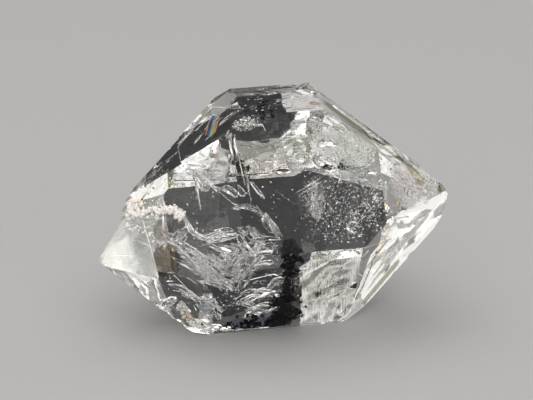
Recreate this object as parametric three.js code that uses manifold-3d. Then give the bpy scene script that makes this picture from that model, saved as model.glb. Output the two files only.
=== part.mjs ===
// A clear, doubly terminated quartz crystal of the short, stubby kind, with black carbon
// sealed in it. It lies on one of its six side faces.
//
// Millimetres, +Z up. The long axis of the crystal runs along X. The origin is on the resting
// face, straight below the long axis. The front is at -Y.
import * as THREE from 'three';
import { mergeVertices } from 'three/addons/utils/BufferGeometryUtils.js';
import Module from 'manifold-3d';

const wasm = await Module();
wasm.setup();

// Driving dimensions of the habit

// Height of the long axis over the resting face
const AXIS_HEIGHT = 10.0;

// Angle of every end face to the long axis, the same on all quartz
const END_FACE_ANGLE = THREE.MathUtils.degToRad(38.21);

// The way each of the six sides faces, counted in degrees from +Y towards +Z
const SIDE_ANGLES = {
  top: 90,
  frontUpper: 150,
  frontLower: 210,
  bottom: 270,
  backLower: 330,
  backUpper: 30,
};

// Distance of each side face from the long axis
const SIDE_DISTANCES = {
  top: 10.7,
  frontUpper: 8.9,
  frontLower: 9.2,
  bottom: AXIS_HEIGHT,
  backLower: 10.2,
  backUpper: 7.7,
};

// Where each end face, carried on inwards, would cut the long axis
const RIGHT_REACH = {
  top: 19.1,
  frontUpper: 21.3,
  frontLower: 19.5,
  bottom: 20.5,
  backLower: 17.5,
  backUpper: 15.25,
};
const LEFT_REACH = {
  top: 15.4,
  frontUpper: 14.5,
  frontLower: 18.3,
  bottom: 19.3,
  backLower: 16.6,
  backUpper: 12.9,
};

// Larger than the crystal: the size of the blocks that faces are cleaved with
const BLOCK = 120;

// Gap between the crystal and the black carbon in its pocket
const POCKET_GAP = 0.3;

// Solids from geometries and back

function toSolid(geometry) {
  const bare = geometry.clone();
  bare.deleteAttribute('normal');
  bare.deleteAttribute('uv');
  const merged = mergeVertices(bare, 1e-4);
  const mesh = new wasm.Mesh({
    numProp: 3,
    vertProperties: new Float32Array(merged.attributes.position.array),
    triVerts: new Uint32Array(merged.index.array),
  });
  return new wasm.Manifold(mesh);
}

function toGeometry(solid) {
  const mesh = solid.getMesh();
  const geometry = new THREE.BufferGeometry();
  geometry.setAttribute('position', new THREE.BufferAttribute(new Float32Array(mesh.vertProperties), 3));
  geometry.setIndex(new THREE.BufferAttribute(new Uint32Array(mesh.triVerts), 1));
  return geometry;
}

// Turns a geometry's +Z to a direction and moves it to a place

function place(geometry, direction, position) {
  const turn = new THREE.Quaternion().setFromUnitVectors(new THREE.Vector3(0, 0, 1), direction);
  return geometry.applyQuaternion(turn).translate(position.x, position.y, position.z);
}

// Cuts off all that lies beyond a plane, which is given by its outward normal and a point on it

function cleave(solid, normal, point) {
  const block = new THREE.BoxGeometry(BLOCK, BLOCK, BLOCK);
  const middle = point.clone().addScaledVector(normal, BLOCK / 2);
  return solid.subtract(toSolid(place(block, normal, middle)));
}

// Steady random numbers from 0 to 1, the same on every run

function makeRandom(seed) {
  let state = seed;
  return () => {
    state = (state * 1664525 + 1013904223) % 4294967296;
    return state / 4294967296;
  };
}

// Faces of the habit: a side face is parallel to the long axis, an end face is inclined to it

function sideNormal(side) {
  const angle = THREE.MathUtils.degToRad(SIDE_ANGLES[side]);
  return new THREE.Vector3(0, Math.cos(angle), Math.sin(angle));
}

function endNormal(end, side) {
  const along = end * Math.sin(END_FACE_ANGLE);
  return sideNormal(side).multiplyScalar(Math.cos(END_FACE_ANGLE)).setX(along);
}

function sidePlane(side) {
  const normal = sideNormal(side);
  const point = new THREE.Vector3(0, 0, AXIS_HEIGHT).addScaledVector(normal, SIDE_DISTANCES[side]);
  return { normal, point };
}

function endPlane(end, side, reach) {
  return { normal: endNormal(end, side), point: new THREE.Vector3(end * reach, 0, AXIS_HEIGHT) };
}

const RIGHT = 1;
const LEFT = -1;
const plane = {};
for (const side of Object.keys(SIDE_ANGLES)) {
  plane[side] = sidePlane(side);
  plane[`right_${side}`] = endPlane(RIGHT, side, RIGHT_REACH[side]);
  plane[`left_${side}`] = endPlane(LEFT, side, LEFT_REACH[side]);
}

// Places on a face are given as along, in millimetres towards the nearer tip (on a side face
// towards the right one), and round, in millimetres round the long axis. On a side face both
// count from the foot of the long axis, and on an end face from where it would cut that axis.

function faceBasis(name) {
  const { normal, point } = plane[name];
  const tipward = new THREE.Vector3(name.startsWith('left_') ? LEFT : RIGHT, 0, 0);
  const along = tipward.addScaledVector(normal, -tipward.dot(normal)).normalize();
  const round = normal.clone().cross(along);
  return { along, round, normal, point };
}

function spot(name, along, round, height = 0) {
  const basis = faceBasis(name);
  return basis.point
    .clone()
    .addScaledVector(basis.along, along)
    .addScaledVector(basis.round, round)
    .addScaledVector(basis.normal, height);
}

// The whole habit, with some faces set back from their full distance

function habit(setBack = {}) {
  let solid = toSolid(new THREE.BoxGeometry(BLOCK, BLOCK, BLOCK));
  for (const [name, { normal, point }] of Object.entries(plane)) {
    const depth = setBack[name] ?? 0;
    solid = cleave(solid, normal, point.clone().addScaledVector(normal, -depth));
  }
  return solid;
}

// Left end: the tip is a terrace set back under ledges that run round it

const TIP_SET_BACK = 0.75;
const LEDGES = [
  { floor: 10.1, setBack: 0.55 },
  { floor: 10.9, setBack: 0.3 },
  { floor: 11.9, setBack: 0.14 },
  { floor: 12.9, setBack: 0 },
];
const TIP_EDGE_X = -10.2;
const TIP_EDGE_Z = 7.0;
const TIP_EDGE_LEAN = 0.19;

function leftTerrace(depth) {
  return habit({
    left_frontUpper: depth,
    left_backUpper: depth,
    left_backLower: depth / 2,
  });
}

function crystalWithLeftTerraces() {
  const up = new THREE.Vector3(0, 0.12, 1).normalize();
  const tipEdge = new THREE.Vector3(1, 0, TIP_EDGE_LEAN).normalize();
  const edgePoint = new THREE.Vector3(TIP_EDGE_X, 0, TIP_EDGE_Z);
  let solid = leftTerrace(TIP_SET_BACK);
  solid = solid.add(cleave(habit(), tipEdge.clone().negate(), edgePoint));
  for (const { floor, setBack } of LEDGES) {
    const ledgePoint = new THREE.Vector3(TIP_EDGE_X, 0, floor);
    solid = solid.add(cleave(leftTerrace(setBack), up.clone().negate(), ledgePoint));
  }
  return solid;
}

// Thin growth plates and shallow recesses: an outline on a face, raised or sunk

const PLATE_ROOT = 0.2;
const RECESS_CLEARANCE = 0.5;

function slab(name, outline, bottom, top) {
  const shape = new THREE.Shape(outline.map(([along, round]) => new THREE.Vector2(along, round)));
  const geometry = new THREE.ExtrudeGeometry(shape, { depth: top - bottom, bevelEnabled: false });
  const { along, round, normal } = faceBasis(name);
  const basis = new THREE.Matrix4().makeBasis(along, round, normal).setPosition(spot(name, 0, 0, bottom));
  return toSolid(geometry.applyMatrix4(basis));
}

function raise(solid, name, outline, height) {
  return solid.add(slab(name, outline, -PLATE_ROOT, height));
}

function recess(solid, name, outline, depth) {
  return solid.subtract(slab(name, outline, -depth, RECESS_CLEARANCE));
}

// Growth steps that the crystal shows on its faces, each an outline in along and round

const RECESSES = [
  // beside the step line across the upper left end face
  {
    face: 'left_top',
    depth: 0.16,
    outline: [[-11.1, -1.9], [-10.4, 0.6], [-10.0, 3.4], [-4, 3.4], [-4, -4]],
  },
  {
    face: 'left_top',
    depth: 0.1,
    outline: [[-9.3, -1.5], [-10.2, 0.3], [-9.6, 2.5], [-8.6, 2.3], [-8.4, -0.4]],
  },
  // the lip under the front top edge
  {
    face: 'frontUpper',
    depth: 0.12,
    outline: [[-3.3, 5.9], [-2.3, 5.2], [-0.6, 4.9], [1.3, 5.1], [2.4, 5.7], [3.6, 6.7], [4.6, 8], [-3.3, 8]],
  },
  // the corner between the lower front face and its right end face
  {
    face: 'frontLower',
    depth: 0.1,
    outline: [[3, -6.8], [3.2, -2.6], [5.9, -1.8], [8.4, 0.4], [8.8, -6.8]],
  },
  {
    face: 'right_frontLower',
    depth: 0.12,
    outline: [[-17, -7], [-13.8, -1.7], [-12.7, 1.9], [-11, 2.7], [-17, 6]],
  },
  // the back, which the front view doesn't show
  {
    face: 'backUpper',
    depth: 0.14,
    outline: [[-3.8, -2], [1.2, -1.2], [2.6, 3.1], [-0.4, 5.2], [-4.4, 4.6]],
  },
  { face: 'backLower', depth: 0.1, outline: [[-2, -1.5], [2.2, -2.2], [6, 1], [0.5, 2.4]] },
  { face: 'right_backUpper', depth: 0.14, outline: [[-15, -1], [-9.4, -2.2], [-8.2, 1.2], [-13.6, 2.8]] },
  { face: 'left_backLower', depth: 0.12, outline: [[-13.4, -2.4], [-8.8, -1.4], [-9.6, 2.2], [-14, 1.6]] },
];
const PLATES = [
  // flakes along the upper left edge
  {
    face: 'left_top',
    height: 0.12,
    outline: [[-14.9, -2.4], [-17.0, -2.2], [-17.0, 0.6], [-16.2, 0.2]],
  },
  {
    face: 'left_top',
    height: 0.1,
    outline: [[-13.6, -1.9], [-12.2, -1.3], [-12.7, -0.3], [-14.9, -0.9]],
  },
  // the clear plate and the growth hill in the middle of the front
  {
    face: 'frontUpper',
    height: 0.07,
    outline: [[2.95, -2.25], [4.5, -2.75], [5.6, -1.45], [4.7, -0.75], [4.55, 1.2], [2.85, -0.6]],
  },
  {
    face: 'frontUpper',
    height: 0.08,
    outline: [[5.8, -3.4], [7.2, -3.0], [10.1, -1.2], [9.6, -0.6], [6.6, -2.2]],
  },
  { face: 'top', height: 0.09, outline: [[2.6, -3.6], [5.1, -3.6], [5.0, -1.0], [3.4, 0.4]] },
  { face: 'right_top', height: 0.08, outline: [[-15.4, -0.2], [-14.4, 1.2], [-5.2, -1.2], [-5.6, -2.1]] },
  {
    face: 'right_frontUpper',
    height: 0.06,
    outline: [[-12.4, -2.4], [-9.2, -1.2], [-8.4, 0.9], [-11.9, 1.4]],
  },
  { face: 'right_bottom', height: 0.12, outline: [[-16, -2], [-9.6, -1.2], [-10.2, 1.6], [-15.2, 2]] },
  {
    face: 'left_backUpper',
    height: 0.1,
    outline: [[-11.2, -1.4], [-7.6, -0.8], [-8.8, 1.8], [-11.6, 1.2]],
  },
];

function withGrowthSteps(solid) {
  let stepped = solid;
  for (const { face, outline, depth } of RECESSES) {
    stepped = recess(stepped, face, outline, depth);
  }
  for (const { face, outline, height } of PLATES) {
    stepped = raise(stepped, face, outline, height);
  }
  return stepped;
}

// Chips: shell-like bites and flat splits along the edges

function lump(radii, position, seed, roughness, detail = 1) {
  const ball = new THREE.IcosahedronGeometry(1, detail);
  ball.deleteAttribute('normal');
  ball.deleteAttribute('uv');
  const geometry = mergeVertices(ball, 1e-4);
  const random = makeRandom(seed);
  const vertices = geometry.attributes.position;
  for (let i = 0; i < vertices.count; i += 1) {
    const swell = 1 + roughness * (random() - 0.5);
    vertices.setXYZ(
      i,
      vertices.getX(i) * swell * radii[0],
      vertices.getY(i) * swell * radii[1],
      vertices.getZ(i) * swell * radii[2],
    );
  }
  return toSolid(geometry.translate(position.x, position.y, position.z));
}

const BITES = [
  // the rough corner at the right of the top face
  { face: 'top', along: 3.4, round: 3.0, radius: 0.9, sink: 0.2 },
  { face: 'top', along: 4.5, round: 2.4, radius: 0.8, sink: 0.3 },
  { face: 'top', along: 5.2, round: 1.5, radius: 0.7, sink: 0.25 },
  { face: 'top', along: 5.5, round: 0.2, radius: 0.6, sink: 0.15 },
  // the notches along the upper left edge
  { face: 'left_top', along: -11.2, round: -2.1, radius: 0.5, sink: 0.2 },
  { face: 'left_top', along: -9.6, round: -1.4, radius: 0.4, sink: 0.1 },
  { face: 'left_top', along: -7.6, round: -0.4, radius: 0.45, sink: 0.15 },
  { face: 'left_top', along: -13.2, round: -2.8, radius: 0.45, sink: 0.1 },
  // the broken lower left edge
  { face: 'left_frontLower', along: -11.6, round: 5.2, radius: 0.7, sink: 0.1 },
  { face: 'left_frontLower', along: -13.2, round: 3.2, radius: 0.9, sink: 0.1 },
  { face: 'left_frontLower', along: -13.0, round: 5.6, radius: 0.8, sink: 0.15 },
  { face: 'left_frontLower', along: -14.6, round: 4.4, radius: 1.0, sink: 0.15 },
  { face: 'frontLower', along: -6.2, round: -4.2, radius: 0.8, sink: 0.15 },
  { face: 'frontLower', along: -5.0, round: -5.2, radius: 0.9, sink: 0.1 },
  { face: 'frontLower', along: -3.9, round: -5.6, radius: 0.6, sink: 0.1 },
  // small ones on the right edges and at the back
  { face: 'right_frontLower', along: -6.8, round: -3.4, radius: 0.6, sink: 0.08 },
  { face: 'right_frontLower', along: -9.0, round: -4.3, radius: 0.5, sink: 0.08 },
  { face: 'right_backLower', along: -10.6, round: 2.4, radius: 0.9, sink: 0.15 },
  { face: 'backUpper', along: 3.4, round: 6.6, radius: 0.8, sink: 0.12 },
  { face: 'left_backLower', along: -6.4, round: 1.4, radius: 0.8, sink: 0.12 },
];
const BITE_ROUGHNESS = 0.16;

function withBites(solid) {
  let bitten = solid;
  BITES.forEach(({ face, along, round, radius, sink }, i) => {
    const centre = spot(face, along, round, radius * 0.72 - sink);
    const radii = [radius * 1.15, radius, radius * 0.8];
    bitten = bitten.subtract(lump(radii, centre, 11 + i, BITE_ROUGHNESS));
  });
  return bitten;
}

// Cuts off the corner beyond the plane through three points, seen from the middle of the crystal

function splitCorner(solid, a, b, c) {
  const normal = b.clone().sub(a).cross(c.clone().sub(a)).normalize();
  const middle = new THREE.Vector3(0, 0, AXIS_HEIGHT);
  if (normal.dot(middle.sub(a)) > 0) {
    normal.negate();
  }
  return cleave(solid, normal, a);
}

function withSplitCorners(solid) {
  const lowerLeft = splitCorner(
    solid,
    spot('frontLower', -5.3, -6.2),
    spot('left_frontLower', -13.9, 5.9),
    spot('frontLower', -6.6, -4.9),
  );
  const lowerRight = splitCorner(
    lowerLeft,
    spot('frontLower', 7.0, -6.0),
    spot('right_frontLower', -13.7, -5.1),
    spot('frontLower', 7.8, -4.4),
  );
  const tipNormal = new THREE.Vector3(0.86, -0.1, 0.5).normalize();
  return cleave(lowerRight, tipNormal, new THREE.Vector3(17.1, -2.7, 11.3));
}

// Grooves: three-sided prisms sunk in a face between two places

function groove(solid, name, from, to, width, depth) {
  const start = spot(name, from[0], from[1], width - depth);
  const end = spot(name, to[0], to[1], width - depth);
  const run = end.clone().sub(start);
  const lengthwise = run.clone().normalize();
  const across = faceBasis(name).normal.clone().cross(lengthwise);
  const prism = new THREE.CylinderGeometry(width, width, run.length(), 3);
  const basis = new THREE.Matrix4().makeBasis(across, lengthwise, across.clone().cross(lengthwise));
  basis.setPosition(start.addScaledVector(run, 0.5));
  return solid.subtract(toSolid(prism.applyMatrix4(basis)));
}

const HATCH = { count: 9, spacing: 0.5, first: [3.2, -4.9], lean: 0.35, width: 0.14, depth: 0.1 };
const EDGE_STRIAE = { count: 3, spacing: 0.34, width: 0.1, depth: 0.06 };
const NEEDLE = { from: [2.5, 0.1], to: [4.5, 1.45], width: 0.13, depth: 0.1 };
const CRACK_MOUTH = { from: [-3.0, 5.4], to: [-2.5, 1.0], width: 0.16, depth: 0.1 };

function withGrooves(solid) {
  const random = makeRandom(5);
  let grooved = solid;
  for (let i = 0; i < HATCH.count; i += 1) {
    const along = HATCH.first[0] + HATCH.spacing * i;
    const low = HATCH.first[1] + 1.3 * random();
    const length = 1.2 + 1.4 * random();
    const to = [along + HATCH.lean * length, low + length];
    grooved = groove(grooved, 'frontLower', [along, low], to, HATCH.width, HATCH.depth);
  }
  const { count, spacing, width, depth } = EDGE_STRIAE;
  for (let i = 0; i < count; i += 1) {
    const inset = spacing * i;
    grooved = groove(grooved, 'right_top', [-13.6, 1.0 - inset], [-6.6, -0.9 - inset], width, depth);
    grooved = groove(grooved, 'left_frontLower', [-4.6, 1.2 + inset], [-8.2, 3.2 + inset], width, depth);
  }
  for (const line of [NEEDLE, CRACK_MOUTH]) {
    grooved = groove(grooved, 'frontUpper', line.from, line.to, line.width, line.depth);
  }
  return grooved;
}

// Etch pits: three-sided hollows, thickest on the right of the upper front face

const PIT_FIELDS = [
  { face: 'frontUpper', count: 62, along: [3.2, 9.6], round: [-5.0, 5.0], size: [0.12, 0.27] },
  { face: 'right_frontUpper', count: 26, along: [-12.4, -6.6], round: [-2.6, 1.8], size: [0.1, 0.22] },
  { face: 'frontLower', count: 14, along: [-1.5, 6.8], round: [-0.5, 4.6], size: [0.1, 0.2] },
  { face: 'left_frontUpper', count: 10, along: [-12, -6], round: [-2.5, 2.5], size: [0.1, 0.2] },
  { face: 'top', count: 8, along: [-1, 4.6], round: [-3.4, 1.8], size: [0.1, 0.2] },
  { face: 'backUpper', count: 14, along: [-2.6, 4.8], round: [-5.4, 5.0], size: [0.12, 0.25] },
  { face: 'backLower', count: 8, along: [-2.6, 3.8], round: [-3.4, 3.4], size: [0.12, 0.22] },
  { face: 'right_backUpper', count: 10, along: [-13, -8], round: [-2.4, 2.4], size: [0.12, 0.24] },
];
const PIT_DEPTH_SHARE = 0.45;

// The cones that cut the pits start this far over the face, above any plate on it
const PIT_START = 0.15;

function withPits(solid) {
  const random = makeRandom(2024);
  const between = ([low, high]) => low + (high - low) * random();
  let pitted = solid;
  for (const { face, count, along, round, size } of PIT_FIELDS) {
    const inward = faceBasis(face).normal.clone().negate();
    for (let i = 0; i < count; i += 1) {
      const radius = between(size);
      const depth = PIT_DEPTH_SHARE * radius;
      const height = depth + PIT_START;
      const cone = new THREE.ConeGeometry(radius * height / depth, height, 3).rotateX(Math.PI / 2);
      const middle = spot(face, between(along), between(round), PIT_START - height / 2);
      pitted = pitted.subtract(toSolid(place(cone, inward, middle)));
    }
  }
  return pitted;
}

// The small finger-like crystal that lies on the lower left edge

function nub() {
  const from = spot('left_frontLower', -10.9, 4.7, 0);
  const to = spot('left_frontLower', -12.4, 2.3, 0.1);
  const run = to.clone().sub(from);
  const finger = lump([0.46, 0.42, run.length() * 0.58], new THREE.Vector3(), 3, 0.1, 2);
  const geometry = place(toGeometry(finger), run.clone().normalize(), from.addScaledVector(run, 0.5));
  return toSolid(geometry);
}

// Black carbon, sealed in the lower front: a column of lumps that widens downwards

const CARBON_LUMPS = [
  { centre: [1.55, -6.7, 8.9], radii: [0.55, 0.38, 0.5] },
  { centre: [1.35, -6.5, 8.15], radii: [0.75, 0.42, 0.55] },
  { centre: [1.7, -6.15, 7.25], radii: [0.6, 0.42, 0.75] },
  { centre: [1.5, -5.75, 6.25], radii: [0.4, 0.45, 0.8] },
  { centre: [1.45, -5.35, 5.15], radii: [0.45, 0.5, 0.85] },
  { centre: [1.55, -4.9, 4.1], radii: [0.8, 0.55, 0.8] },
  { centre: [1.2, -4.4, 3.0], radii: [1.15, 0.7, 0.9] },
  { centre: [1.7, -4.1, 2.0], radii: [1.3, 0.75, 0.9] },
  { centre: [1.2, -3.6, 0.9], radii: [1.25, 0.8, 1.3] },
];
const CARBON_ROUGHNESS = 0.2;

// The carbon ends just short of the resting face, where its pocket is open
const CARBON_FOOT = 0.3;

function carbonColumn(extra) {
  const lumps = CARBON_LUMPS.map(({ centre, radii }, i) => {
    const grown = radii.map((radius) => radius + extra);
    return lump(grown, new THREE.Vector3(...centre), 40 + i, CARBON_ROUGHNESS);
  });
  return lumps.reduce((joined, next) => joined.add(next));
}

function carbonInclusion() {
  const down = new THREE.Vector3(0, 0, -1);
  return cleave(carbonColumn(0), down, new THREE.Vector3(0, 0, CARBON_FOOT));
}

// The two pieces

function quartzCrystal() {
  let solid = crystalWithLeftTerraces();
  solid = withGrowthSteps(solid);
  solid = withSplitCorners(solid);
  solid = withBites(solid);
  solid = solid.add(nub());
  solid = withGrooves(solid);
  solid = withPits(solid);
  return solid.subtract(carbonColumn(POCKET_GAP));
}

function namedMesh(name, solid, material) {
  const mesh = new THREE.Mesh(toGeometry(solid), material);
  mesh.name = name;
  return mesh;
}

const quartz = new THREE.MeshStandardMaterial({ color: 0xe9edf0, roughness: 0.06, metalness: 0 });
const carbon = new THREE.MeshStandardMaterial({ color: 0x0c0b0b, roughness: 0.4, metalness: 0 });

const part = new THREE.Group();
part.add(namedMesh('quartz_crystal', quartzCrystal(), quartz));
part.add(namedMesh('anthraxolite_inclusion', carbonInclusion(), carbon));

export default part;
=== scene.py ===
# A clear quartz crystal with a point at each end, lying on one side face: etched and chipped
# outside, with cracks, veils of tiny hollows and black carbon inside.
import math
import random
import bmesh
import bpy
from mathutils import Matrix, Vector, noise


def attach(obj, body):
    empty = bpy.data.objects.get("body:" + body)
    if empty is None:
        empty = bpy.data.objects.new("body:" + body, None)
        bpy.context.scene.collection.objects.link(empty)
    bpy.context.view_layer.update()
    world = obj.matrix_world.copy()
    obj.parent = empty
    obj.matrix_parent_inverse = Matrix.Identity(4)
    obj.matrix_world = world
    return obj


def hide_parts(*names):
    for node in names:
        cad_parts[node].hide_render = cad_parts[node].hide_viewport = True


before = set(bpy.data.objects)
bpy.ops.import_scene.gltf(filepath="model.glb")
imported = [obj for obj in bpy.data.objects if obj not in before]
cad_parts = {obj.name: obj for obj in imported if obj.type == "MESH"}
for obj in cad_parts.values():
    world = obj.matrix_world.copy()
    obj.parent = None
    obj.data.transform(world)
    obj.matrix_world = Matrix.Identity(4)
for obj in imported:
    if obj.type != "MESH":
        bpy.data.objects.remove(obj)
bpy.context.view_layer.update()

# Sizes are in millimetres here, and Blender's in metres
MM = 0.001

# Habit: height of the long axis, and angle of the end faces to it
AXIS_HEIGHT = 10.0
END_FACE_ANGLE = math.radians(38.21)
# The side faces, with the upper and the lower one at the front: angle round the long axis,
# distance from it, and how far out the right and the left end face next to it meet the axis
SIDES = {
    "top": (90, 10.7, 19.1, 15.4),
    "upper": (150, 8.9, 21.3, 14.5),
    "lower": (210, 9.2, 19.5, 18.3),
    "bottom": (270, AXIS_HEIGHT, 20.5, 19.3),
    "backLower": (330, 10.2, 17.5, 16.6),
    "backUpper": (30, 7.7, 15.25, 12.9),
}
# The long axis at the crystal's middle
MIDDLE = Vector((0, 0, AXIS_HEIGHT))


def face_plane(name):
    """Outward normal of a face, and a point on its plane straight out from the middle."""
    end, _, side = name.rpartition("_")
    degrees, distance, right_reach, left_reach = SIDES[side]
    angle = math.radians(degrees)
    normal = Vector((0, math.cos(angle), math.sin(angle)))
    if not end:
        return normal, MIDDLE + normal * distance
    sign, reach = (1, right_reach) if end == "right" else (-1, left_reach)
    normal = normal * math.cos(END_FACE_ANGLE)
    normal.x = sign * math.sin(END_FACE_ANGLE)
    return normal, MIDDLE + Vector((sign * reach, 0, 0))


FACE_PLANES = [face_plane(end + side) for end in ("", "left_", "right_") for side in SIDES]


def face_axes(name):
    """Directions in a face, along it towards its tip (the right one for a side face) and round
    the long axis, then its normal and its point."""
    normal, point = face_plane(name)
    tipward = Vector((-1 if name.startswith("left_") else 1, 0, 0))
    along = (tipward - normal * tipward.dot(normal)).normalized()
    return along, normal.cross(along), normal, point


def spot(name, along, round_way, height=0.0):
    """A place on a face, or over it (under it where height is negative)."""
    a, r, n, point = face_axes(name)
    return point + a * along + r * round_way + n * height


# Camera and line of sight

CAMERA_AZIMUTH = -12.2
CAMERA_ELEVATION = 22.7
CAMERA_TARGET = Vector((1.02, 0, 10.64))
LENS_MM = 400.0
SENSOR_MM = 36.0
VIEW_WIDTH = 48.45
QUARTZ_IOR = 1.544


def outward(azimuth, elevation):
    """The direction from the crystal to an azimuth (0 in front, 90 at the right) and elevation."""
    a, e = math.radians(azimuth), math.radians(elevation)
    return Vector((math.sin(a) * math.cos(e), -math.cos(a) * math.cos(e), math.sin(e)))


def sight_behind(face):
    """How the camera's line of sight runs inside the crystal, once a face has bent it."""
    ahead = -outward(CAMERA_AZIMUTH, CAMERA_ELEVATION)
    normal = face_plane(face)[0]
    slant = -ahead.dot(normal)
    steepness = math.sqrt(1 - (1 - slant * slant) / QUARTZ_IOR ** 2)
    bent = ahead / QUARTZ_IOR + normal * (slant / QUARTZ_IOR - steepness)
    # A thousandth is fine enough
    return Vector([round(part, 3) for part in bent])


# The faces that the camera looks at
FRONT_FACES = [end + side for end in ("", "left_", "right_") for side in ("upper", "lower", "top")]
SIGHT = {face: sight_behind(face) for face in FRONT_FACES}


def behind(face, along, round_way, depth):
    """A place inside the crystal, that far behind a place on a face, as the camera sees it."""
    return spot(face, along, round_way) + SIGHT[face] * depth


# Mesh helpers

# Corners nearer than this are one
SAME_PLACE = 0.0005


def grid_of(data):
    """A mesh to edit, in millimetres."""
    grid = bmesh.new()
    grid.from_mesh(data)
    bmesh.ops.scale(grid, vec=(1 / MM,) * 3, verts=grid.verts)
    return grid


def write_mesh(grid, data):
    """Put an edited mesh into the data, in metres."""
    bmesh.ops.scale(grid, vec=(MM,) * 3, verts=grid.verts)
    grid.to_mesh(data)
    grid.free()


def closed_copy_of_node(name):
    """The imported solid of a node, with its shared corners merged."""
    grid = grid_of(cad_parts[name].data)
    bmesh.ops.remove_doubles(grid, verts=grid.verts, dist=SAME_PLACE)
    return grid


def new_object(name, grid):
    data = bpy.data.meshes.new(name)
    write_mesh(grid, data)
    made = bpy.data.objects.new(name, data)
    bpy.context.scene.collection.objects.link(made)
    return made


def new_piece(name, grid, material):
    piece = new_object(name, grid)
    piece.data.materials.append(material)
    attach(piece, "root")
    return piece


def wave(point, size, seed):
    """Smooth noise from -1 to 1 with bumps of that size. Each seed has its own stretch of it."""
    return noise.noise(point / size + Vector((seed * 7.3, seed * 3.1, seed * 1.7)))


def keep_inside(point, skin):
    """The point, moved inwards where a face is nearer than the skin."""
    for normal, place in FACE_PLANES:
        depth = (place - point).dot(normal)
        if depth < skin:
            point = point - normal * (skin - depth)
    return point


def curve_through(places, count):
    """Evenly stepped points on a smooth curve through the places, and its direction there."""
    ends = [2 * places[0] - places[1]] + list(places) + [2 * places[-1] - places[-2]]
    spans = len(places) - 1
    path = []
    for i in range(count + 1):
        t = spans * i / count
        k = min(int(t), spans - 1)
        t -= k
        # A Catmull-Rom span from p1 to p2
        p0, p1, p2, p3 = ends[k:k + 4]
        bend = p0 * 2 - p1 * 5 + p2 * 4 - p3
        twist = p1 * 3 - p0 - p2 * 3 + p3
        place = p1 + (p2 - p0) * (t / 2) + bend * (t * t / 2) + twist * (t ** 3 / 2)
        slope = (p2 - p0) / 2 + bend * t + twist * (1.5 * t * t)
        path.append((place, slope.normalized()))
    return path


# The carbon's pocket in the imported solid, which opens in the resting face: its walls lie in this
# box, deeper than the skin, and the mouth's are below this height and behind this y
POCKET_BOX = (Vector((-1.0, -7.8, 0.004)), Vector((4.0, -2.0, 10.2)))
POCKET_SKIN = 0.3
MOUTH_HEIGHT = 0.7
MOUTH_FRONT = -4.82


def in_pocket(point):
    low, high = POCKET_BOX
    if not all(low[i] < point[i] < high[i] for i in range(3)):
        return False
    if point.z < MOUTH_HEIGHT and point.y > MOUTH_FRONT:
        return True
    return min((place - point).dot(normal) for normal, place in FACE_PLANES) > POCKET_SKIN


def fill_pocket(grid):
    """Take out the pocket's walls and close its mouth: the carbon then sits in the quartz."""
    walls = [f for f in grid.faces if in_pocket(f.calc_center_median())]
    bmesh.ops.delete(grid, geom=walls, context="FACES")
    rim = [e for e in grid.edges if e.is_boundary]
    filled = bmesh.ops.holes_fill(grid, edges=rim)["faces"]
    bmesh.ops.triangulate(grid, faces=filled)


# Hollows inside the crystal: thin cracks and tiny pores. Each is a closed surface whose faces
# point into the hollow, so it is part of the crystal's own solid.

# The crystal's material slots. The first is the clear quartz.
CRACK_SLOT = 1
FILM_SLOT = 2
CRUST_SLOT = 3

# A crack's greatest gap, the size of its cells, and how far it stays under the faces
CRACK_GAP = 0.012
CRACK_ROW_LENGTH = 0.22
CRACK_COLUMN_WIDTH = 0.075
FEWEST_STEPS = 6
CRACK_SKIN = 0.12
# Width of a crack at its ends, as a share of its width
END_WIDTH = 0.12
# What makes a crack's rim ragged: how fast each noise changes by row, its strength, and where
# in the noise it is read
RAGGED_RIM = ((0.23, 0.4, 0), (0.8, 0.25, 5))
# Each set of ripples: its size, and how steep its slopes are
RIPPLES = ((1.1, 0.3), (0.45, 0.3), (0.2, 0.22))
STREAK_STRETCH = 6.0
STREAK_DRIFT = 0.1


def with_depth(places, depth):
    """Places on a face with their depth behind it: the same for all, or one for each."""
    depths = depth if isinstance(depth, tuple) else (depth,) * len(places)
    return [(along, round_way, deep) for (along, round_way), deep in zip(places, depths)]


def streaks(run, across, seed):
    """Height of a crack's surface: ripples that are drawn out along it."""
    flat = Vector((run / STREAK_STRETCH, across, STREAK_DRIFT * run))
    return sum(slope * size * wave(flat, size, seed + size) for size, slope in RIPPLES)


def tilted_normal(face, way, tilt):
    """Normal of a crack that runs that way: turned about it by tilt, from towards the camera."""
    facing = -SIGHT[face]
    facing = (facing - way * facing.dot(way)).normalized()
    sideways = way.cross(facing)
    if sideways.z * tilt < 0:
        sideways = -sideways
    angle = math.radians(abs(tilt))
    return facing * math.cos(angle) + sideways * math.sin(angle)


def width_at(row, run, half_width, seed):
    """Half of a crack's width at a row, which is at run from -1 to 1 along it."""
    ragged = 1
    for pace, strength, place in RAGGED_RIM:
        ragged += strength * noise.noise(Vector((row * pace, seed * 2.7, place)))
    return half_width * ragged * (END_WIDTH + (1 - END_WIDTH) * (1 - abs(run) ** 3) ** 0.7)


def join_rows(grid, layer, turned, slot):
    """Faces between the rows of a layer, turned over where it is the far one."""
    for row, next_row in zip(layer, layer[1:]):
        for j in range(len(row) - 1):
            corners = [row[j], next_row[j], next_row[j + 1], row[j + 1]]
            if turned:
                corners.reverse()
            made = grid.faces.new(corners)
            made.smooth = True
            made.material_index = slot


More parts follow.
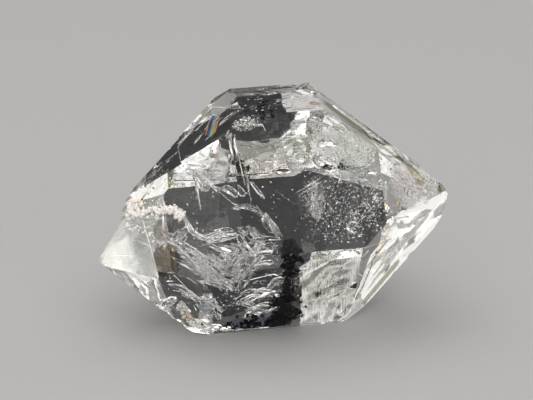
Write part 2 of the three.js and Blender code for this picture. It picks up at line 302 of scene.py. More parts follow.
def add_crack(grid, face, points, half_width, tilt, seed, slot=CRACK_SLOT, ripple=1.0):
    """A thin rippled hollow along a path behind a face. Its surface is turned by tilt from square
    to the line of sight, so that its steepest streaks reflect all of what is over it."""
    places = [behind(face, *point) for point in points]
    length = sum((q - p).length for p, q in zip(places, places[1:]))
    rows = max(FEWEST_STEPS, round(length / CRACK_ROW_LENGTH))
    columns = max(FEWEST_STEPS, round(2 * half_width / CRACK_COLUMN_WIDTH))
    path = curve_through(places, rows)
    layers = []
    for side in (1, -1):
        layer = []
        for i, (place, way) in enumerate(path):
            run = 2 * i / rows - 1
            normal = tilted_normal(face, way, tilt)
            across_way = way.cross(normal)
            width = width_at(i, run, half_width, seed)
            line = []
            for j in range(columns + 1):
                across = 2 * j / columns - 1
                rim = i in (0, rows) or j in (0, columns)
                if rim and side < 0:
                    line.append(layers[0][i][j])
                    continue
                height = ripple * streaks(run * length / 2, across * width, seed)
                height += side * 0.5 * CRACK_GAP * math.sqrt((1 - run * run) * (1 - across * across))
                point = place + across_way * (across * width) + normal * height
                line.append(grid.verts.new(keep_inside(point, CRACK_SKIN)))
            layer.append(line)
        layers.append(layer)
    near, far = layers
    join_rows(grid, near, False, slot)
    join_rows(grid, far, True, slot)


PORE_STRETCH = (0.6, 1.7)


def add_pore(grid, centre, radius, rng):
    """An eight-sided hollow, stretched and turned at random."""
    turn = Matrix.Rotation(rng.uniform(0, 2 * math.pi), 3, Vector((rng.random(), rng.random(), 1)))
    stretch = [radius * rng.uniform(*PORE_STRETCH) for axis in range(3)]
    corners = []
    for axis in range(3):
        for sign in (1, -1):
            tip = Vector((0, 0, 0))
            tip[axis] = sign * stretch[axis]
            corners.append(grid.verts.new(centre + turn @ tip))
    for x in (0, 1):
        for y in (2, 3):
            for z in (4, 5):
                three = [corners[x], corners[y], corners[z]]
                if (x + y + z) % 2 == 0:
                    three.reverse()
                grid.faces.new(three).material_index = CRACK_SLOT


# Cracks: the face that each is seen through, how deep behind it, the places that it runs through
# (along and round that face), half its width, and its tilt
CRACKS = [
    # the upper and the lower shell in the left of the front
    ("left_upper", 2.4, ((-10.3, 3.2), (-11.4, 2.9), (-12.5, 2.8), (-13.5, 2.9)), 0.32, 44),
    ("left_upper", 3.4, ((-10.5, 3.4), (-11.6, 3.3), (-12.7, 3.3), (-14.0, 3.4)), 0.6, 39),
    ("left_upper", 2.4, ((-10.6, 3.7), (-11.7, 4.3), (-13.1, 4.8), (-14.4, 5.4)), 0.35, 43),
    ("left_upper", 2, ((-8.5, 0.2), (-8.9, 1.5), (-9.4, 2.4), (-10.4, 3.1), (-11.2, 3.6)), 0.4, 42),
    ("left_upper", 1.6, ((-7.6, 3.0), (-8.1, 2.4), (-8.9, 1.8)), 0.3, 44),
    ("left_upper", 1.6, ((-5.7, 1.6), (-6.6, 2.0), (-7.6, 2.4)), 0.14, 46),
    ("left_upper", 1.2, ((-7.8, 2.0), (-8.6, 2.7), (-7.9, 3.5)), 0.14, 46),
    # the two arms of the V under them
    ("left_upper", 2.2, ((-6.5, 2.7), (-8.4, 4.3), (-10.2, 6.4), (-12.2, 8.8)), 0.3, 43),
    ("left_upper", 2.2, ((-7.2, 2.5), (-9.1, 3.8), (-11.2, 5.3), (-13.4, 6.0)), 0.25, 44),
    ("left_upper", 2.6, ((-9.0, 4.6), (-10.5, 5.8), (-11.8, 7.2), (-12.7, 8.6)), 0.3, 42),
    ("lower", 2.5, ((-8.5, 4.9), (-6.9, 3.5), (-5.5, 1.9), (-3.8, 0.1)), 0.4, 43),
    ("lower", 2.8, ((-1.5, 5.4), (-2.2, 3.1), (-3.0, 0.3)), 0.3, 44),
    ("lower", 3, ((-2.0, 5.2), (-2.8, 2.6), (-3.5, 0.0)), 0.3, -43),
    ("lower", 3.6, ((-3.6, 4.6), (-3.7, 3.0), (-3.6, 1.2)), 0.7, 37),
    ("left_lower", 1.8, ((-11.5, 1.0), (-12.9, 0.5), (-14.5, 0.9), (-15.8, 0.7)), 0.4, 42),
    ("left_upper", 0.9, ((-5.2, 0.2), (-6.5, 0.2), (-7.9, 0.2), (-8.8, 0.7)), 0.5, 44),
    # the knot in the middle of the front, and the bright bars beside it
    ("upper", 2.4, ((-3.2, -3.0), (-3.0, -4.0), (-2.5, -4.9), (-2.1, -5.5)), 0.3, 44),
    ("upper", 2.2, ((-2.6, -4.0), (-1.1, -3.9), (0.3, -4.1)), 0.22, 47),
    ("upper", 2.2, ((-0.6, -4.3), (-0.4, -4.8), (-0.2, -5.4)), 0.14, 47),
    ("upper", 2.8, ((-3.4, -1.0), (-2.1, -1.2), (-1.1, -1.9), (-0.3, -3.0), (0.2, -4.0)), 0.3, 38),
    ("upper", 2, ((-3.6, -1.1), (-2.6, -0.9), (-1.8, -1.2)), 0.22, 47),
    ("upper", 3.4, ((-0.5, -5.0), (-1.5, -4.9), (-2.6, -5.2)), 0.7, 38),
    # what hangs from the bright band
    ("left_upper", 1.6, ((-14.2, -5.7), (-14.1, -4.7), (-14.2, -3.6)), 0.22, -47),
    ("upper", 1.8, ((-3.0, 4.1), (-3.1, 3.0), (-3.0, 1.8)), 0.14, -46),
    ("upper", 1.8, ((-1.9, 3.0), (-1.8, 2.4), (-1.7, 1.6)), 0.1, -46),
    ("upper", 1.6, ((1.4, 3.5), (1.6, 2.6), (2.0, 1.8)), 0.16, 46),
    ("upper", 2.5, ((-2.1, 1.9), (-2.1, 0.6), (-2.2, -0.9)), 0.12, 46),
    ("upper", 2.5, ((-2.1, 1.4), (-1.5, 0.4), (-0.9, -0.4)), 0.28, 44),
    ("left_upper", 2.4, ((-10.2, -3.3), (-10.2, -2.1), (-10.2, -1.2), (-10.3, 0.6)), 0.22, 44),
    ("left_upper", 2.4, ((-10.1, -3.0), (-10.8, -1.7), (-11.5, -1.1)), 0.6, 45),
    ("left_upper", 2.8, ((-11.2, -2.4), (-11.8, -1.6), (-12.4, -0.7)), 0.25, 44),
    ("left_upper", 2.6, ((-12.8, -1.1), (-13.6, -0.7), (-14.3, 0)), 0.4, 44),
    ("upper", 0.5, ((-2.8, 4.7), (-1.2, 4.3), (0.6, 4.4), (2.7, 5.6)), 0.09, 46),
    # the bright patch and the streaks of the upper left
    ("left_top", 1.2, ((-14.7, 2.1), (-15.9, 1.9), (-17.1, 2.3)), 0.5, 46),
    ("left_top", 1, ((-12.3, -2.5), (-13.6, -3.2), (-14.7, -3.3)), 0.3, 46),
    ("left_top", 1, ((-10.7, -0.1), (-12.1, -0.9), (-13.5, -1.7)), 0.3, 46),
    ("left_top", 1.3, ((-13.5, 2.6), (-14.2, 1.2), (-15.1, -0.4)), 0.7, 46),
    ("top", 0.6, ((-0.2, -0.5), (0.2, -0.3), (0.6, -0.4)), 0.22, 46),
    ("top", 0.6, ((1.9, -3.0), (2.3, -3.0), (2.9, -2.8)), 0.25, 46),
    # low in the front, left and right of the carbon
    ("lower", 1.8, ((-2.2, -2.2), (-1.0, -1.2), (-0.1, -0.7), (0.8, -1.4)), 0.5, 46),
    ("lower", 1.8, ((-2.4, -4.3), (-1.4, -2.6), (-0.3, -2.3), (0.9, -3.2)), 0.35, 45),
    ("lower", 2.4, ((-3.0, -1.2), (-2.4, -2.0), (-1.6, -2.6)), 0.5, 44),
    ("lower", 2.6, ((-0.7, -0.5), (0.1, 1.0), (1.2, 0.9)), 0.5, 39),
    ("lower", 0.4, ((-4.2, -5.9), (-2.0, -6.0), (0.1, -6.0), (2.8, -5.9)), 0.14, 46),
    ("left_lower", 1, ((-12.8, 2.5), (-13.6, 3.7), (-14.7, 4.8)), 0.3, 44),
    ("lower", 1.8, ((4.4, -2.5), (5.4, -0.3), (6.9, 1.3)), 0.16, 44),
    # the right end
    ("right_upper", 1, ((-11.9, 0.5), (-10.1, 0), (-7.9, -0.3)), 0.5, 42),
    ("right_lower", 0.8, ((-12.7, -1.3), (-10.1, -0.1), (-7.5, 0.8), (-4.8, 1.4)), 0.4, 44),
    ("right_lower", 0.8, ((-13.2, -3.2), (-11.0, -1.7), (-8.6, -0.9)), 0.4, 44),
]

# Smooth cracks, listed in the same way. The first are the needle's two bars, and pale plates.
SMOOTH_CRACKS = [
    ("upper", 1.6, ((2.0, -0.1), (3.3, 0.5), (4.5, 1.1)), 0.07, 46),
    ("upper", 1.6, ((2.25, -0.35), (3.5, 0.25), (4.7, 0.85)), 0.07, 46),
    ("upper", 2.4, ((3.9, 0.8), (3.8, -0.8), (3.7, -2.6)), 1.0, 39),
    ("upper", 2.4, ((-0.9, -1.6), (-0.9, -2.6), (-0.4, -3.5)), 0.5, 39),
    # bright plates in the band and between the feathers
    ("upper", 1.4, ((4.4, 4.0), (5.4, 4.3), (6.4, 4.0)), 0.6, 46),
    ("left_upper", 2, ((-11.8, 4.2), (-12.9, 4.6), (-13.9, 4.8)), 0.35, 47),
    ("left_upper", 2, ((-9.4, 4.9), (-10.3, 5.7), (-11.0, 6.7)), 0.25, 46),
    ("lower", 2.2, ((-3.1, 4.8), (-3.3, 3.3), (-3.5, 1.8)), 0.25, -46),
    ("left_upper", 2, ((-10.7, 3.2), (-11.4, 3.0), (-12.7, 3.0)), 0.3, 47),
    ("lower", 1.6, ((-1.9, -0.5), (-1.1, -0.1), (-0.1, -0.4)), 0.35, 46),
    # the line across the left tip, and the fine lines in the window that is painted dark brown as shade
    ("left_upper", 0.2, ((-0.5, 3.3), (-2.0, 3.5), (-3.6, 3.7)), 0.07, 46),
    ("left_upper", 0.5, ((-5.5, 4.4), (-6.3, 4.6), (-7.0, 4.9)), 0.06, 46),
    ("left_upper", 0.5, ((-5.7, 5.1), (-6.4, 5.3), (-7.1, 5.6)), 0.06, 46),
]
SMOOTH_RIPPLE = 0.25
SMOOTH_SEED = 70

# The crack with the rainbow, in the upper left
FILM_FACE = "left_top"
FILM_PATH = with_depth(((-13.5, 2.6), (-14.2, 1.2), (-15.1, -0.4)), 0.6)
FILM_HALF_WIDTH = 0.65
FILM_TILT = 12
FILM_SEED = 90

# Bundles of small feathery cracks that follow one path: the face, how deep behind it, the path,
# how far they spread to its sides, how many, half their width, and the share of the path that
# each runs along
FEATHERS = [
    ("left_upper", (2, 2, 2.2, 2.5, 2.5), ((-5.7, 1.4), (-6.8, 3.4), (-8.6, 4.6), (-10.1, 5.7), (-12.4, 7.6)),
     0.7, 22, 0.13, 0.3),
    ("lower", 2.5, ((-8.5, 4.9), (-6.9, 3.5), (-5.5, 1.9), (-3.8, 0.1)), 0.9, 20, 0.12, 0.3),
    ("lower", (2.8, 3, 3, 3), ((-3.9, 0.4), (-3.3, 2.2), (-2.3, 3.5), (-1.4, 4.8)),
     0.5, 10, 0.12, 0.4),
    ("left_upper", 2, ((-8.5, 0.2), (-8.9, 1.5), (-9.4, 2.4), (-10.4, 3.1), (-11.4, 3.7)),
     0.3, 8, 0.14, 0.4),
    ("left_upper", (2.6, 2.6, 3, 3), ((-10.2, 4.4), (-11.5, 5.3), (-12.6, 5.7), (-14.0, 5.9)),
     0.3, 8, 0.14, 0.4),
    ("left_upper", 3, ((-10.5, 3.4), (-11.8, 3.6), (-13.0, 4.0), (-14.6, 4.4)), 0.6, 12, 0.14, 0.3),
    ("upper", 4, ((-1.7, -0.8), (-1.0, -2.0), (-0.3, -2.9), (0.3, -4.2)), 0.4, 8, 0.12, 0.5),
    ("upper", 3.4, ((-3.4, -2.4), (-2.6, -3.4), (-1.6, -4.4), (-0.4, -4.8)), 0.7, 12, 0.14, 0.35),
    ("lower", 3, ((-3.4, -1.8), (-2.1, -1.0), (-0.9, -0.9), (0.6, -1.6)), 0.9, 20, 0.15, 0.25),
    ("lower", 1.6, ((-3.0, -2.4), (-1.8, -3.2), (-0.4, -3.4), (1.0, -3.0)), 0.9, 16, 0.14, 0.25),
    ("left_lower", (1.6, 1.8, 1.8, 1.8), ((-11.3, 1.2), (-12.9, 0.7), (-14.5, 0.9), (-16.4, 0.5)),
     0.8, 16, 0.14, 0.3),
    ("lower", 1.6, ((-6.2, -1.2), (-5.2, -2.6), (-4.6, -4.2)), 0.7, 14, 0.16, 0.4),
    ("left_lower", 1, ((-12.4, 2.6), (-13.6, 3.7), (-14.9, 4.8), (-16.5, 5.2)), 0.6, 10, 0.16, 0.4),
    ("right_lower", 0.9, ((-13.2, -2.4), (-10.1, -0.8), (-7.5, 0.3), (-4.6, 1.3)),
     0.8, 16, 0.2, 0.35),
    ("lower", 1.6, ((3.6, -4.0), (4.6, -1.6), (5.6, 0.8), (6.8, 3.2)), 1.5, 10, 0.08, 0.15),
    ("upper", 2, ((6.2, -4.4), (7.6, -3.0), (8.8, -2.2), (10.0, -1.2)), 0.5, 14, 0.09, 0.2),
    ("upper", 1.8, ((-3.4, 3.2), (-1.0, 3.0), (1.4, 3.2), (3.4, 3.4)), 1.0, 8, 0.08, 0.12),
    ("left_upper", 2, ((-8.6, -3.4), (-10.4, -2.6), (-11.8, -2.0), (-13.6, -1.2)),
     0.9, 12, 0.12, 0.2),
    ("left_upper", 1.4, ((-5.6, 1.2), (-6.6, 2.4), (-7.6, 2.8), (-8.8, 2.0)), 0.5, 10, 0.1, 0.4),
    ("left_top", 0.6, ((-10.4, -0.1), (-12.1, -1.1), (-14.1, -1.7), (-16.3, -2.3)), 0.5, 14, 0.16, 0.3),
    ("left_top", 0.7, ((-12.0, 2.0), (-13.7, 1.1), (-16.1, -0.1)), 0.9, 10, 0.16, 0.3),
    ("left_top", 0.5, ((-6.2, 1.1), (-8.8, 0.4), (-10.7, 0.6)), 0.5, 10, 0.1, 0.2),
    ("top", 0.6, ((-1.1, -2.9), (0.3, -1.6), (2.6, -0.8), (4.1, -0.2)), 1.0, 12, 0.12, 0.2),
    ("top", 0.4, ((0.8, 2.0), (2.6, 2.0), (4.6, 2.1)), 0.3, 6, 0.14, 0.4),
    ("right_top", 0.5, ((-16.3, -3.1), (-13.0, -3.9), (-9.5, -4.0), (-6.4, -4.3)), 0.5, 12, 0.12, 0.25),
    ("right_upper", 0.9, ((-12.6, 1.4), (-10.3, 0.4), (-7.7, -0.5)), 0.8, 12, 0.16, 0.2),
]
FEATHER_SEED = 500
FEATHER_TILTS = (41, 50)
# The share of them that leans the other way, and shows what is under it
DOWNWARD_SHARE = 0.3
# Their lengths and widths vary by these shares, and their depths by this much
FEATHER_LENGTHS = (0.6, 1.3)
FEATHER_WIDTHS = (0.5, 1.4)
FEATHER_DEPTHS = (-0.6, 0.9)
# How far one drifts from its path, as a share of the bundle's spread
FEATHER_DRIFT = 0.35
FEATHER_RIPPLE_SEED = 100
SEEDS_PER_BUNDLE = 40
PATH_STEPS = 40


def feather_points(path, start, part, aside, drift, deeper):
    """Four points of a feather that follows that part of a path, beside it and deeper."""
    points = []
    for step in (0, 0.33, 0.67, 1):
        place, way = path[min(PATH_STEPS, round(PATH_STEPS * (start + part * step)))]
        shift = aside + drift * (step - 0.5)
        points.append((place.x - way.y * shift, place.y + way.x * shift, place.z + deeper))
    return points


def add_feathers(grid):
    for k, (face, depth, places, spread, count, half_width, share) in enumerate(FEATHERS):
        rng = random.Random(FEATHER_SEED + k)
        path = curve_through([Vector(point) for point in with_depth(places, depth)], PATH_STEPS)
        for i in range(count):
            part = share * rng.uniform(*FEATHER_LENGTHS)
            start = rng.uniform(0, max(0.01, 1 - part))
            aside = rng.gauss(0, 0.5) * spread
            deeper = rng.uniform(*FEATHER_DEPTHS)
            drift = rng.uniform(-FEATHER_DRIFT, FEATHER_DRIFT) * spread
            own_points = feather_points(path, start, part, aside, drift, deeper)
            tilt = rng.uniform(*FEATHER_TILTS)
            if rng.random() < DOWNWARD_SHARE:
                tilt = -tilt
            width = half_width * rng.uniform(*FEATHER_WIDTHS)
            ripple_seed = FEATHER_RIPPLE_SEED + SEEDS_PER_BUNDLE * k + i
            add_crack(grid, face, own_points, width, tilt, ripple_seed)


def add_listed(grid, cracks, first_seed, ripple):
    for i, (face, depth, places, half_width, tilt) in enumerate(cracks):
        points = with_depth(places, depth)
        add_crack(grid, face, points, half_width, tilt, first_seed + i, ripple=ripple)


def add_cracks(grid):
    add_listed(grid, CRACKS, 1, 1.0)
    add_listed(grid, SMOOTH_CRACKS, SMOOTH_SEED, SMOOTH_RIPPLE)
    add_feathers(grid)
    add_crack(grid, FILM_FACE, FILM_PATH, FILM_HALF_WIDTH, FILM_TILT, FILM_SEED, FILM_SLOT, SMOOTH_RIPPLE)


# Veils: face, along, round and depth of the middle, normal, half the length and width, the
# number of pores that are tried, and their radius
VEILS = [
    ("upper", -4.5, -4.2, 4.0, (0.2, -0.3, 1.0), (5.0, 2.6), 520, 0.035),
    ("upper", 6.0, -1.6, 1.6, (-0.2, -1.0, 0.3), (3.8, 3.6), 700, 0.045),
    ("upper", 6.2, -1.2, 0.5, (-0.1, -1.0, 0.55), (3.6, 3.4), 800, 0.05),
    ("upper", -1.9, 6.5, 0.4, (0.0, -1.0, 0.57), (1.2, 0.6), 300, 0.06),
    ("lower", -2.0, -0.5, 3.6, (-0.3, -0.6, 1.0), (4.6, 2.4), 520, 0.04),
    ("lower", 3.8, -1.0, 2.4, (0.2, -1.0, 0.2), (3.2, 2.6), 380, 0.035),
    ("upper", 3.4, 4.6, 2.6, (0.3, -0.8, 0.5), (3.6, 1.5), 260, 0.035),
    ("right_upper", -10.5, -0.6, 1.4, (0.5, -0.7, 0.4), (2.8, 1.6), 260, 0.03),
    ("right_lower", -10.0, 0.6, 1.2, (0.6, -0.7, -0.2), (4.4, 1.6), 320, 0.03),
    ("left_upper", -6.6, 2.6, 2.2, (-0.6, -0.6, 0.5), (3.4, 1.8), 320, 0.035),
]
VEIL_SEED = 60
VEIL_LENGTHWISE = Vector((1, 0.1, 0))
# How a veil's sheet waves, how thick it is, and its pores' sizes as shares of their radius
VEIL_WAVE_SIZE = 2.2
VEIL_WAVE_HEIGHT = 0.5
VEIL_THICKNESS = 0.05
PORE_SIZES = (0.5, 1.6)


def add_veil(grid, seed, face, along, round_way, depth, normal, half, count, radius):
    """A wavy sheet of tiny pores: a crack that healed."""
    rng = random.Random(seed)
    centre = behind(face, along, round_way, depth)
    n = Vector(normal).normalized()
    u_way = (VEIL_LENGTHWISE - n * VEIL_LENGTHWISE.dot(n)).normalized()
    v_way = n.cross(u_way)
    for i in range(count):
        u = rng.uniform(-1, 1)
        v = rng.uniform(-1, 1)
        if u * u + v * v > 1:
            continue
        flat = Vector((u * half[0], v * half[1], 0))
        height = VEIL_WAVE_HEIGHT * wave(flat, VEIL_WAVE_SIZE, seed)
        height += VEIL_THICKNESS * rng.uniform(-1, 1)
        place = centre + u_way * flat.x + v_way * flat.y + n * height
        add_pore(grid, place, radius * rng.uniform(*PORE_SIZES), rng)


# Crust: strips of grains on the faces, each with its path, how far it spreads to the sides, how
# many grains are tried and their radius
CRUST_STRIPS = [
    ("left_upper", ((-3.0, -0.4), (-4.6, -0.2), (-6.6, 0.0), (-7.9, 0.2), (-8.5, 0.9)), 0.5, 150, 0.22),
    ("left_upper", ((-2.6, 1.0), (-3.6, 1.2), (-4.8, 1.6)), 0.3, 20, 0.14),
    ("left_lower", ((-12.6, 3.4), (-13.8, 4.6), (-15.4, 5.2), (-17.2, 5.6)), 0.35, 50, 0.16),
]
CRUST_SEED = 23
# How deep a grain sits in the face, as a share of its radius
CRUST_SINK = 0.5
CRUST_SIZES = (0.5, 1.3)
CRUST_FINENESS = 1
# Grains stay this far over the resting face
CRUST_CLEARANCE = 0.6

# How grains of crust and of carbon are shaped
GRAIN_STRETCH = (0.6, 1.4)
GRAIN_ROUGHNESS = 0.5
GRAIN_LUMPS = 1.6


def add_grain(grid, centre, radius, rng, slot=0, fineness=2):
    made = bmesh.ops.create_icosphere(grid, subdivisions=fineness, radius=1.0)["verts"]
    turn = Vector((rng.uniform(0, 50), rng.uniform(0, 50), rng.uniform(0, 50)))
    stretch = [radius * rng.uniform(*GRAIN_STRETCH) for axis in range(3)]
    for corner in made:
        rough = 1 + GRAIN_ROUGHNESS * noise.noise(corner.co * GRAIN_LUMPS + turn)
        corner.co = centre + Vector([corner.co[k] * stretch[k] * rough for k in range(3)])
        for face in corner.link_faces:
            face.material_index = slot
            face.smooth = slot > 0


def add_crust(grid):
    rng = random.Random(CRUST_SEED)
    for face, path, spread, count, radius in CRUST_STRIPS:
        line = curve_through([Vector((a, r, 0)) for a, r in path], PATH_STEPS)
        for i in range(count):
            place, way = line[rng.randrange(PATH_STEPS + 1)]
            aside = rng.gauss(0, 0.5) * spread
            size = radius * rng.uniform(*CRUST_SIZES)
            centre = spot(face, place.x - way.y * aside, place.y + way.x * aside, -CRUST_SINK * size)
            if centre.z >= CRUST_CLEARANCE:
                add_grain(grid, centre, size, rng, CRUST_SLOT, CRUST_FINENESS)


# Etch pits: three-sided and six-sided hollows in the faces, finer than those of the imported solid.
# Each field has its face, how many pits are tried, the stretch along and round, and the radii.
PIT_FIELDS = [
    ("upper", 1000, (2.6, 10.0), (-5.0, 5.2), (0.045, 0.13)),
    ("upper", 90, (-6.0, 3.0), (-4.0, 4.6), (0.04, 0.09)),
    ("right_upper", 130, (-13.6, -6.4), (-3.0, 2.2), (0.05, 0.13)),
    ("lower", 80, (-2.0, 7.0), (-5.0, 5.0), (0.05, 0.12)),
    ("left_upper", 60, (-12.5, -5.5), (-3.0, 3.0), (0.04, 0.1)),
    ("top", 50, (-1.5, 5.0), (-3.8, 2.2), (0.04, 0.11)),
    ("backUpper", 60, (-3.0, 5.0), (-5.5, 5.2), (0.05, 0.14)),
    ("backLower", 50, (-3.0, 4.0), (-3.8, 3.8), (0.05, 0.14)),
    ("right_top", 40, (-14.0, -6.0), (-3.0, 1.0), (0.04, 0.1)),
    ("right_lower", 70, (-13.0, -5.0), (-2.0, 2.0), (0.04, 0.1)),
]
# Depth of a pit as a share of its radius, how far its cutter stands out of the face, and the
# room between two cutters
PIT_DEPTH = 0.5
PIT_MOUTH = 0.03
PIT_SPACING = 0.02
PIT_SIDES = (3, 3, 3, 6)
PIT_TURN = 0.15
PIT_SEED = 77


def pit_places():
    """Every pit's face, along, round, radius, sides and turn. Pits stay clear of each other."""
    rng = random.Random(PIT_SEED)
    for face, tries, along, round_way, size in PIT_FIELDS:
        taken = []
        for i in range(tries):
            a = rng.uniform(*along)
            r = rng.uniform(*round_way)
            radius = rng.uniform(*size)
            reach = radius + 2 * PIT_MOUTH
            if all(math.hypot(a - x, r - y) > reach + other for x, y, other in taken):
                taken.append((a, r, reach + PIT_SPACING))
                sides = rng.choice(PIT_SIDES)
                yield face, a, r, radius, sides, rng.uniform(-PIT_TURN, PIT_TURN)


def pit_cones():
    """Every pit's cone, as one mesh: base over the face, tip under it."""
    grid = bmesh.new()
    for face, along, round_way, radius, sides, turn in pit_places():
        a_way, r_way, normal, point = face_axes(face)
        depth = PIT_DEPTH * radius
        base_radius = radius * (depth + PIT_MOUTH) / depth
        centre = point + a_way * along + r_way * round_way
        tip = grid.verts.new(centre - normal * depth)
        ring = []
        for k in range(sides):
            angle = turn + 2 * math.pi * k / sides
            out = a_way * math.cos(angle) + r_way * math.sin(angle)
            ring.append(grid.verts.new(centre + normal * PIT_MOUTH + out * base_radius))
        grid.faces.new(ring)
        for k in range(sides):
            grid.faces.new((ring[k], tip, ring[(k + 1) % sides]))
    bmesh.ops.recalc_face_normals(grid, faces=grid.faces)
    return grid


def cut_pits(piece):
    cutter = new_object("pit_cones", pit_cones())
    cut = piece.modifiers.new("pits", "BOOLEAN")
    cut.operation = "DIFFERENCE"
    cut.solver = "MANIFOLD"
    cut.object = cutter
    graph = bpy.context.evaluated_depsgraph_get()
    data = bpy.data.meshes.new_from_object(piece.evaluated_get(graph))
    piece.modifiers.clear()
    piece.data = data
    # The cut can add material slots
    while len(data.materials) > 1:
        data.materials.pop()
    bpy.data.objects.remove(cutter)


# Helpers for materials


def feed(material, socket, value):
    """Give a socket a number, a vector or a colour, or link it to what another node puts out."""
    if isinstance(value, bpy.types.NodeSocket):
        material.node_tree.links.new(value, socket)
    elif socket.type == "RGBA":
        socket.default_value = (*value, 1)
    else:
        socket.default_value = value


def new_material(name):
    material = bpy.data.materials.new(name)
    material.use_nodes = True
    return material


def set_shader(material, name, value):
    feed(material, material.node_tree.nodes["Principled BSDF"].inputs[name], value)


def maths(material, operation, first, second, kind="ShaderNodeMath", output="Value"):
    node = material.node_tree.nodes.new(kind)
    node.operation = operation
    feed(material, node.inputs[0], first)
    feed(material, node.inputs[1], second)
    return node.outputs[output]


def vector_maths(material, operation, first, second):
    output = "Value" if operation in ("DISTANCE", "DOT_PRODUCT") else "Vector"
    return maths(material, operation, first, second, "ShaderNodeVectorMath", output)


def object_place(material):
    return material.node_tree.nodes.new("ShaderNodeTexCoord").outputs["Object"]


def noise_value(material, size, stretch=(1, 1, 1), detail=3.0):
    """Noise from 0 to 1 with bumps of that size in millimetres, drawn out by stretch."""
    scale = [1 / (MM * size * way) for way in stretch]
    place = vector_maths(material, "MULTIPLY", object_place(material), scale)
    texture = material.node_tree.nodes.new("ShaderNodeTexNoise")
    texture.inputs["Scale"].default_value = 1.0
    texture.inputs["Detail"].default_value = detail
    feed(material, texture.inputs["Vector"], place)
    return texture.outputs["Fac"]


def ramp_value(material, value, low, high, out_low=0.0, out_high=1.0):
    node = material.node_tree.nodes.new("ShaderNodeMapRange")
    node.interpolation_type = "SMOOTHSTEP"
    names = ("Value", "From Min", "From Max", "To Min", "To Max")
    for name, given in zip(names, (value, low, high, out_low, out_high)):
        feed(material, node.inputs[name], given)
    return node.outputs["Result"]


# A mask's edge: how strongly noise shifts it, where it ends, and where a ball's and a stroke's
# begin, all as shares of the radius
MASK_SHAKE = 0.7
MASK_END = 1.35
BALL_EDGE = 1.1
STROKE_EDGE = 1.0
STROKE_RAGGED_SIZE = 0.3


def ragged_mask(material, gap, radius, ragged_size, edge):
    """1 where the gap is well within the radius, 0 where it is past it, ragged between them."""
    away = maths(material, "DIVIDE", gap, radius * MM)
    shake = maths(material, "MULTIPLY", noise_value(material, ragged_size), MASK_SHAKE)
    return ramp_value(material, maths(material, "ADD", away, shake), MASK_END, edge)


def ball_mask(material, place, radius, ragged_size):
    """1 inside a ball round a place on a face, with a ragged soft edge, 0 outside it."""
    gap = vector_maths(material, "DISTANCE", object_place(material), spot(*place) * MM)
    return ragged_mask(material, gap, radius, ragged_size, BALL_EDGE)


def stroke_mask(material, first, last, radius):
    """1 within radius of a line from first to last, with a ragged soft edge, 0 elsewhere."""
    way = (last - first).normalized()
    from_first = vector_maths(material, "SUBTRACT", object_place(material), first * MM)
    along = vector_maths(material, "DOT_PRODUCT", from_first, way)
    reach = maths(material, "MAXIMUM", along, 0.0)
    reach = maths(material, "MINIMUM", reach, (last - first).length * MM)
    nearest = vector_maths(material, "MULTIPLY", way, reach)
    gap = vector_maths(material, "DISTANCE", from_first, nearest)
    return ragged_mask(material, gap, radius, STROKE_RAGGED_SIZE, STROKE_EDGE)


def mix_colour(material, factor, first, second):
    node = material.node_tree.nodes.new("ShaderNodeMix")
    node.data_type = "RGBA"
    feed(material, node.inputs["Factor"], factor)
    # The node's seventh and eighth inputs and its third output are its colours
    feed(material, node.inputs[6], first)
    feed(material, node.inputs[7], second)
    return node.outputs[2]


def bump(material, height, distance_mm, below=None):
    node = material.node_tree.nodes.new("ShaderNodeBump")
    node.inputs["Strength"].default_value = 1.0
    node.inputs["Distance"].default_value = distance_mm * MM
    feed(material, node.inputs["Height"], height)
    if below is not None:
        feed(material, node.inputs["Normal"], below)
    return node.outputs["Normal"]


# Clear quartz

# Round stains and painted light: face, along, round, radius and colour
ROUND_STAINS_AND_PAINTED_LIGHT = [
    # painted shade: the window beside the left tip, dark brown, and a grey darkening next to it; then painted
    # blue glints low in the front
    ("left_upper", -6.4, 4.6, 1.8, (0.09, 0.065, 0.04)),
    ("left_upper", -6.4, 1.9, 1.1, (0.34, 0.31, 0.27)),
    ("lower", -6.1, -2.1, 0.8, (0.5, 0.56, 0.72)),
    ("lower", -2.8, -4.8, 0.8, (0.42, 0.5, 0.7)),
    ("lower", -0.6, -4.9, 0.7, (0.42, 0.5, 0.7)),
    # a grey darkening low at the right of the front; then painted tints of warm, greenish and rosy light in
    # the clear quartz
    ("lower", 5.2, -0.8, 4.4, (0.66, 0.64, 0.6)),
    ("upper", -0.8, 2.8, 2.6, (0.86, 0.82, 0.75)),
    ("upper", 3.0, 4.2, 1.6, (0.84, 0.88, 0.79)),
    ("upper", 7.8, 3.6, 2.6, (0.87, 0.92, 0.85)),
    ("right_upper", -11.5, 0.4, 1.6, (0.94, 0.88, 0.89)),
    ("left_upper", -2.0, 3.0, 3.0, (0.93, 0.97, 0.94)),
    # rust, and painted warm glints
    ("right_upper", -6.3, -0.2, 0.35, (0.45, 0.28, 0.12)),
    ("right_upper", -12.6, -1.6, 0.6, (1.0, 0.86, 0.66)),
    ("top", 4.9, -2.6, 0.6, (0.5, 0.36, 0.24)),
    ("left_lower", -13.9, 4.6, 0.8, (0.8, 0.55, 0.3)),
    # small spots of split light
    ("left_upper", -12.5, -4.0, 0.3, (0.95, 0.6, 0.9)),
    ("left_upper", -12.9, -3.8, 0.25, (0.98, 0.95, 0.45)),
    ("left_upper", -13.2, -3.9, 0.2, (0.5, 0.9, 0.95)),
    ("upper", -2.2, 4.2, 0.25, (0.6, 0.92, 0.95)),
    ("upper", -2.0, 4.5, 0.2, (0.98, 0.95, 0.4)),
    ("left_upper", -7.6, -2.2, 0.6, (0.98, 0.95, 0.62)),
    ("upper", 8.6, -0.8, 0.16, (1.0, 0.85, 0.3)),
    ("upper", 8.5, -4.0, 0.2, (1.0, 0.85, 0.3)),
]
